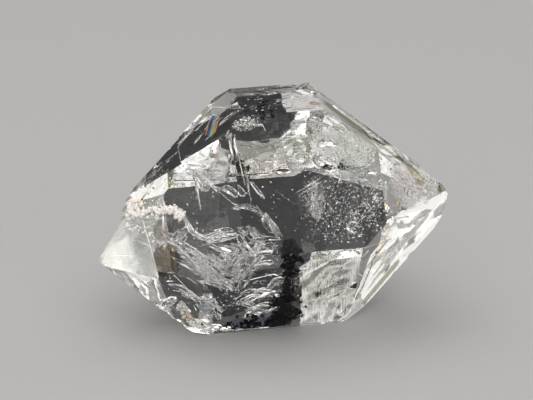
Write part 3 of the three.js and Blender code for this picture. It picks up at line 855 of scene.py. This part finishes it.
# Stains and painted light along lines: face, the line's two ends (along and round), radius and colour
LINE_STAINS_AND_PAINTED_LIGHT = [
    # rust beside the left tip
    ("left_upper", (-2.2, 0.5), (-4.7, 1.5), 0.22, (1.0, 0.58, 0.22)),
    ("left_upper", (-3.0, 1.4), (-4.4, 1.9), 0.18, (0.95, 0.5, 0.18)),
    ("left_upper", (-3.0, -1.5), (-4.9, -1.0), 0.2, (1.0, 0.66, 0.34)),
    ("left_upper", (-7.2, 3.6), (-7.3, 5.6), 0.12, (1.0, 0.5, 0.12)),
    ("left_lower", (-13.0, 3.2), (-13.9, 4.2), 0.16, (1.0, 0.55, 0.2)),
    # painted warm fringes of split light along the right end face's edge
    ("right_lower", (-11.1, 4.9), (-12.9, 0.1), 0.28, (1.0, 0.72, 0.42)),
    ("lower", (9.9, 7.4), (9.1, 3.6), 0.2, (0.9, 0.7, 0.5)),
    # painted shade, olive and near black, along the upper and the lower right edge
    ("right_top", (-15.5, -1.4), (-11.1, -3.0), 1.4, (0.26, 0.23, 0.15)),
    ("right_top", (-11.1, -3.0), (-5.6, -4.8), 1.0, (0.32, 0.28, 0.19)),
    ("right_lower", (-13.0, -4.6), (-9.2, -2.9), 0.75, (0.08, 0.09, 0.04)),
]
# Frosted places: face, along, round, radius and roughness
FROSTS = [
    ("left_upper", -1.0, 1.6, 2.9, 0.3),
    ("left_lower", -4.0, 0.0, 3.6, 0.3),
    ("left_lower", -8.0, 0.4, 2.4, 0.22),
    ("left_top", -16.2, -1.2, 1.6, 0.35),
    ("upper", 8.5, 4.0, 1.8, 0.18),
    ("upper", 5.6, 4.4, 1.4, 0.14),
    ("right_upper", -10.5, 0.0, 2.6, 0.12),
]
# Etched places, with a fine pitted relief: face, along, round and radius
ETCHED = [
    ("upper", 5.4, 4.4, 1.7),
    ("upper", 8.0, 3.6, 2.0),
    ("right_upper", -11.0, 0.0, 2.4),
    ("right_upper", -7.8, -0.3, 1.5),
]
ETCH_SIZE = 0.17
ETCH_DEPTH = 0.012
# How fine the ragged edges of stains and painted light, of frost and of etching are
STAIN_AND_LIGHT_RAGGED_SIZE = 0.4
FROST_RAGGED_SIZE = 1.2
ETCH_RAGGED_SIZE = 1.0
ABSORBED_COLOUR = (0.93, 0.95, 0.94)
# How strongly the quartz absorbs, per metre
ABSORPTION = 6.0


# Base colour: rust stains, and painted shade, glints, fringes and tints of light
def colour_with_stains_and_painted_light(material):
    colour = (1.0, 1.0, 1.0)
    for *place, radius, stain_and_light_tint in ROUND_STAINS_AND_PAINTED_LIGHT:
        mask = ball_mask(material, place, radius, STAIN_AND_LIGHT_RAGGED_SIZE)
        colour = mix_colour(material, mask, colour, stain_and_light_tint)
    for face, first, last, radius, stain_and_light_tint in LINE_STAINS_AND_PAINTED_LIGHT:
        mask = stroke_mask(material, spot(face, *first), spot(face, *last), radius)
        colour = mix_colour(material, mask, colour, stain_and_light_tint)
    return colour


def frosted_roughness(material):
    roughness = ramp_value(material, noise_value(material, 2.5), 0.55, 0.8, 0.0, 0.03)
    for *place, radius, frost in FROSTS:
        mask = ball_mask(material, place, radius, FROST_RAGGED_SIZE)
        roughness = maths(material, "MAXIMUM", roughness, maths(material, "MULTIPLY", mask, frost))
    return roughness


def surface_relief(material):
    """The faces' slow swell, the fine growth lines that run round the crystal, and the etching."""
    swell = bump(material, noise_value(material, 2.6, detail=1.0), 0.03)
    lines = noise_value(material, 0.16, stretch=(1, 12, 12), detail=2.0)
    growth = bump(material, lines, 0.0012, swell)
    etched = 0.0
    for *place, radius in ETCHED:
        mask = ball_mask(material, place, radius, ETCH_RAGGED_SIZE)
        etched = maths(material, "MAXIMUM", mask, etched)
    dents = ramp_value(material, noise_value(material, ETCH_SIZE, detail=1.0), 0.45, 0.65)
    return bump(material, maths(material, "MULTIPLY", dents, etched), ETCH_DEPTH, growth)


def clear_material(name, share=1.0):
    """A material that lets that share of the light in, and bends it as quartz does."""
    material = new_material(name)
    set_shader(material, "Transmission Weight", share)
    set_shader(material, "IOR", QUARTZ_IOR)
    return material


def quartz_material():
    material = clear_material("clear_quartz")
    set_shader(material, "Base Color", colour_with_stains_and_painted_light(material))
    set_shader(material, "Roughness", frosted_roughness(material))
    set_shader(material, "Normal", surface_relief(material))
    nodes = material.node_tree.nodes
    absorption = nodes.new("ShaderNodeVolumeAbsorption")
    feed(material, absorption.inputs["Color"], ABSORBED_COLOUR)
    feed(material, absorption.inputs["Density"], ABSORPTION)
    feed(material, nodes["Material Output"].inputs["Volume"], absorption.outputs["Volume"])
    return material


# Materials of the cracks, the rainbow, the crust, the carbon and the floor

# Colours of light in a very thin crack, across it from the left, as red, green and blue
FILM_COLOURS = [
    (0.0, (1.0, 1.0, 0.95)),
    (0.1, (1.0, 0.5, 0.06)),
    (0.2, (0.25, 0.02, 0.02)),
    (0.3, (0.02, 0.03, 0.6)),
    (0.42, (0.05, 0.45, 0.95)),
    (0.54, (0.35, 0.95, 0.75)),
    (0.66, (0.85, 0.95, 0.2)),
    (0.8, (1.0, 0.5, 0.06)),
    (0.92, (0.95, 0.35, 0.3)),
    (1.0, (1.0, 0.95, 0.9)),
]
FILM_WOBBLE = 0.1
FILM_TRANSMISSION = 0.5
CRUST_TONES = ((0.93, 0.91, 0.89), (0.82, 0.72, 0.67))
CARBON_TONES = ((0.003, 0.003, 0.004), (0.014, 0.013, 0.013))
FLOOR_COLOUR = (0.42, 0.42, 0.43)


def crack_material():
    material = clear_material("crack_faces")
    roughness = ramp_value(material, noise_value(material, 0.7), 0.45, 0.7, 0.01, 0.22)
    set_shader(material, "Roughness", roughness)
    set_shader(material, "Normal", bump(material, noise_value(material, 0.15, detail=2.0), 0.003))
    return material


def film_across():
    """The direction across the rainbow, towards the right, and where it begins that way."""
    first, middle, last = (behind(FILM_FACE, *point) for point in FILM_PATH)
    across = (last - first).cross(SIGHT[FILM_FACE]).normalized()
    if across.x < 0:
        across = -across
    return across, middle.dot(across) - FILM_HALF_WIDTH


def film_material():
    """A thin crack's rainbow: bands that lie side by side across it."""
    material = clear_material("crack_film", FILM_TRANSMISSION)
    across, start = film_across()
    along_it = vector_maths(material, "DOT_PRODUCT", object_place(material), across)
    shift = maths(material, "SUBTRACT", along_it, start * MM)
    share = maths(material, "DIVIDE", shift, 2 * FILM_HALF_WIDTH * MM)
    wobble = maths(material, "MULTIPLY", noise_value(material, 0.6), FILM_WOBBLE)
    wobble = maths(material, "SUBTRACT", wobble, FILM_WOBBLE / 2)
    ramp = material.node_tree.nodes.new("ShaderNodeValToRGB")
    feed(material, ramp.inputs["Fac"], maths(material, "ADD", share, wobble))
    stops = ramp.color_ramp.elements
    while len(stops) < len(FILM_COLOURS):
        stops.new(0.5)
    for stop, (place, colour) in zip(stops, FILM_COLOURS):
        stop.position = place
        stop.color = (*colour, 1)
    set_shader(material, "Base Color", ramp.outputs["Color"])
    set_shader(material, "Roughness", 0.05)
    return material


def crust_material():
    material = new_material("pale_crust")
    tone = ramp_value(material, noise_value(material, 0.35), 0.5, 0.72)
    set_shader(material, "Base Color", mix_colour(material, tone, *CRUST_TONES))
    set_shader(material, "Roughness", 0.5)
    set_shader(material, "Normal", bump(material, noise_value(material, 0.2), 0.015))
    return material


def carbon_material():
    material = new_material("black_carbon")
    set_shader(material, "Specular IOR Level", 0.2)
    tone = ramp_value(material, noise_value(material, 0.3), 0.4, 0.75)
    set_shader(material, "Base Color", mix_colour(material, tone, *CARBON_TONES))
    roughness = ramp_value(material, noise_value(material, 0.15), 0.35, 0.7, 0.2, 0.6)
    set_shader(material, "Roughness", roughness)
    set_shader(material, "Normal", bump(material, noise_value(material, 0.08), 0.02))
    return material


def floor_material():
    material = new_material("pale_floor")
    set_shader(material, "Base Color", FLOOR_COLOUR)
    set_shader(material, "Roughness", 0.6)
    return material


# The crystal


def crystal_piece():
    solid = closed_copy_of_node("quartz_crystal")
    fill_pocket(solid)
    piece = new_piece("quartz", solid, quartz_material())
    cut_pits(piece)
    # in the order of CRACK_SLOT, FILM_SLOT and CRUST_SLOT
    for material in (crack_material(), film_material(), crust_material()):
        piece.data.materials.append(material)
    grid = grid_of(piece.data)
    add_cracks(grid)
    for i, veil in enumerate(VEILS):
        add_veil(grid, VEIL_SEED + i, *veil)
    add_crust(grid)
    bmesh.ops.triangulate(grid, faces=grid.faces)
    write_mesh(grid, piece.data)
    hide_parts("quartz_crystal")


# The carbon

# Each set of crumbs on the main mass: its size and its height
CRUMBS = ((0.7, 0.12), (0.28, 0.07), (0.12, 0.03))
CARBON_SEED = 41
CARBON_SKIN = 0.05

# Grains of carbon apart from the main mass: face, along, round, depth, spread, how many, radius
GRAINS = [
    ("upper", -0.3, 7.2, 0.6, 0.15, 3, 0.28),
    ("upper", 0.3, 7.0, 0.7, 0.2, 4, 0.16),
    ("top", -1.4, -2.9, 0.5, 0.15, 2, 0.14),
    ("top", -1.0, -4.0, 0.5, 0.6, 5, 0.08),
    ("top", 1.6, -2.2, 0.6, 0.8, 8, 0.07),
    ("left_upper", -4.7, -1.2, 0.3, 0.05, 1, 0.13),
    ("left_upper", -5.3, -1.6, 0.3, 0.05, 1, 0.11),
    ("left_upper", -4.7, -0.2, 0.3, 0.1, 2, 0.12),
    ("left_upper", -5.2, -0.2, 0.3, 0.1, 2, 0.1),
    ("upper", 1.1, -5.0, 0.8, 0.3, 12, 0.3),
    ("lower", 1.2, 3.9, 1.2, 0.35, 16, 0.28),
    ("lower", 1.4, 1.9, 1.2, 0.4, 22, 0.24),
    ("lower", 1.3, 0.0, 1.2, 0.35, 16, 0.16),
    ("lower", 1.4, -2.1, 1.3, 0.7, 40, 0.2),
    ("lower", 1.6, -4.2, 1.2, 0.8, 46, 0.24),
    ("lower", -1.6, -5.0, 0.9, 0.9, 50, 0.22),
    ("lower", -3.6, -5.2, 0.8, 0.7, 24, 0.16),
    ("right_upper", -6.3, -0.2, 0.35, 0.1, 3, 0.09),
]
GRAIN_SIZES = (0.35, 1.2)
# How far a blob of grains reaches deeper, and its spread round as a share of that along
GRAIN_DEPTHS = 0.8
GRAIN_SPREAD_ROUND = 0.7
# A grain reaches this many times its radius, and stays this far under the faces
GRAIN_REACH = 1.6
GRAIN_SKIN = 0.1


def add_grains(grid):
    rng = random.Random(CARBON_SEED)
    for face, along, round_way, depth, spread, count, radius in GRAINS:
        for i in range(count):
            a = along + rng.gauss(0, spread)
            r = round_way + rng.gauss(0, GRAIN_SPREAD_ROUND * spread)
            size = radius * rng.uniform(*GRAIN_SIZES)
            place = behind(face, a, r, depth + rng.uniform(0, GRAIN_DEPTHS))
            add_grain(grid, keep_inside(place, GRAIN_REACH * size + GRAIN_SKIN), size, rng)


def crumble(grid):
    """Break up the smooth lumps into a crumbly mass that stays in the crystal."""
    bmesh.ops.subdivide_edges(grid, edges=grid.edges, cuts=2, use_grid_fill=True)
    bmesh.ops.recalc_face_normals(grid, faces=grid.faces)
    grid.normal_update()
    shifts = []
    for corner in grid.verts:
        rise = sum(height * wave(corner.co, size, CARBON_SEED) for size, height in CRUMBS)
        shifts.append((corner, corner.normal * rise))
    for corner, shift in shifts:
        corner.co = keep_inside(corner.co + shift, CARBON_SKIN)


def carbon_piece():
    grid = closed_copy_of_node("anthraxolite_inclusion")
    crumble(grid)
    add_grains(grid)
    piece = new_piece("carbon", grid, carbon_material())
    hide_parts("anthraxolite_inclusion")


# Floor, lights and camera

FLOOR_RADIUS = 400.0
FLOOR_DROP = 0.02


def make_floor():
    grid = bmesh.new()
    bmesh.ops.create_circle(grid, cap_ends=True, segments=96, radius=FLOOR_RADIUS)
    bmesh.ops.translate(grid, vec=(0, 0, -FLOOR_DROP), verts=grid.verts)
    floor = new_object("floor", grid)
    floor.data.materials.append(floor_material())
    # The crystal shows the studio all round it, and not the floor
    floor.visible_transmission = False
    floor.visible_glossy = False


# Softboxes all round the crystal, each given by the azimuths and elevations that it spans, seen
# from the crystal, and by how bright it is. The backdrop stays dark, and so does what the crystal
# shows of the ground.
LIGHT_DISTANCE = 300.0
SOFTBOXES = [
    ("front_left", (-51, -4), (20, 50), 1.25),
    ("front_right", (2, 48), (9, 32), 1.2),
    ("front_low_left", (-62, -25), (-10, 16), 0.8),
    ("front_low_right", (2, 26), (-6, 9), 0.9),
    ("left", (-118, -70), (-34, 30), 0.65),
    ("left_high", (-118, -62), (40, 72), 0.9),
    ("right", (100, 134), (-2, 34), 0.9),
    ("right_low", (84, 104), (-30, -10), 0.9),
    ("right_high", (70, 110), (40, 60), 1.0),
    ("top_front", (-20, 60), (46, 72), 0.95),
    ("back_left", (-154, -129), (18, 38), 0.8),
    ("back", (-178, -150), (19, 35), 0.5),
    ("back_high", (135, 225), (40, 66), 1.0),
    ("under_front_left", (-60, -30), (-50, -30), 1.1),
    ("under_left", (-145, -112), (-74, -54), 0.6),
    ("under_front", (2, 30), (-50, -32), 0.9),
    ("under_right", (46, 88), (-70, -50), 1.5),
    ("under_back_right", (120, 150), (-50, -32), 0.8),
]
LAMP_COLOUR = (1.0, 0.975, 0.935)
TOP_RADIANCE = 1.0
TOP_SIZE = 420.0


def add_lamp(name, out, width, height, radiance):
    light = bpy.data.lights.new(name, "AREA")
    light.shape = "RECTANGLE"
    light.size = width * MM
    light.size_y = height * MM
    light.energy = radiance * math.pi * light.size * light.size_y
    light.color = LAMP_COLOUR
    lamp = bpy.data.objects.new(name, light)
    lamp.location = (MIDDLE + out * LIGHT_DISTANCE) * MM
    lamp.rotation_euler = out.to_track_quat("Z", "Y").to_euler()
    lamp.visible_camera = False
    bpy.context.scene.collection.objects.link(lamp)


def add_softbox(name, azimuths, elevations, radiance):
    """A lamp that spans those angles, seen from the crystal."""
    out = outward(sum(azimuths) / 2, sum(elevations) / 2)
    ring = LIGHT_DISTANCE * math.cos(math.radians(sum(elevations) / 2))
    width = 2 * ring * math.tan(math.radians(azimuths[1] - azimuths[0]) / 2)
    height = 2 * LIGHT_DISTANCE * math.tan(math.radians(elevations[1] - elevations[0]) / 2)
    add_lamp(name, out, width, height, radiance)


def make_lights():
    for name, azimuths, elevations, radiance in SOFTBOXES:
        add_softbox(name, azimuths, elevations, radiance)
    add_lamp("top", Vector((0, 0, 1)), TOP_SIZE, TOP_SIZE, TOP_RADIANCE)


# The studio's walls are evenly lit, but for dark zones: azimuth and elevation of the middle, and
# how far the full dark and its soft edge reach, in degrees
WALL_RADIANCE = (0.31, 0.305, 0.29)
DARK_RADIANCE = (0.03, 0.03, 0.033)
DARK_ZONES = [
    # the backdrop
    (172, -12, 42, 60),
    # the ground that the crystal stands on
    (160, -75, 27, 38),
    # flags that keep light off from the lower right, the front and the lower left
    (110, -43, 10, 20),
    (31, 1, 5, 11),
    (-111, -46, 6, 12),
]


def make_walls():
    world = bpy.data.worlds.new("studio")
    world.use_nodes = True
    nodes = world.node_tree.nodes
    place = nodes.new("ShaderNodeTexCoord").outputs["Generated"]
    darkness = 0.0
    for azimuth, elevation, core, edge in DARK_ZONES:
        towards = vector_maths(world, "DOT_PRODUCT", place, outward(azimuth, elevation))
        limits = (math.cos(math.radians(edge)), math.cos(math.radians(core)))
        zone = ramp_value(world, towards, *limits)
        darkness = maths(world, "MAXIMUM", zone, darkness)
    wall = mix_colour(world, darkness, WALL_RADIANCE, DARK_RADIANCE)
    feed(world, nodes["Background"].inputs["Color"], wall)
    bpy.context.scene.world = world


def make_camera():
    camera = bpy.data.cameras.new("camera")
    camera.lens = LENS_MM
    camera.sensor_width = SENSOR_MM
    camera.clip_start = 0.05
    camera.clip_end = 10
    holder = bpy.data.objects.new("camera", camera)
    back = outward(CAMERA_AZIMUTH, CAMERA_ELEVATION)
    distance = LENS_MM * VIEW_WIDTH / SENSOR_MM
    holder.location = (CAMERA_TARGET + back * distance) * MM
    holder.rotation_euler = back.to_track_quat("Z", "Y").to_euler()
    bpy.context.scene.collection.objects.link(holder)
    bpy.context.scene.camera = holder


def set_light_paths():
    """Let light pass many of the crystal's faces and cracks."""
    scene = bpy.context.scene
    scene.cycles.max_bounces = 24
    scene.cycles.transmission_bounces = 24
    scene.cycles.glossy_bounces = 12
    scene.cycles.caustics_refractive = True
    scene.cycles.caustics_reflective = True
    scene.view_settings.view_transform = "Standard"


make_camera()
crystal_piece()
carbon_piece()
make_floor()
make_lights()
make_walls()
set_light_paths()
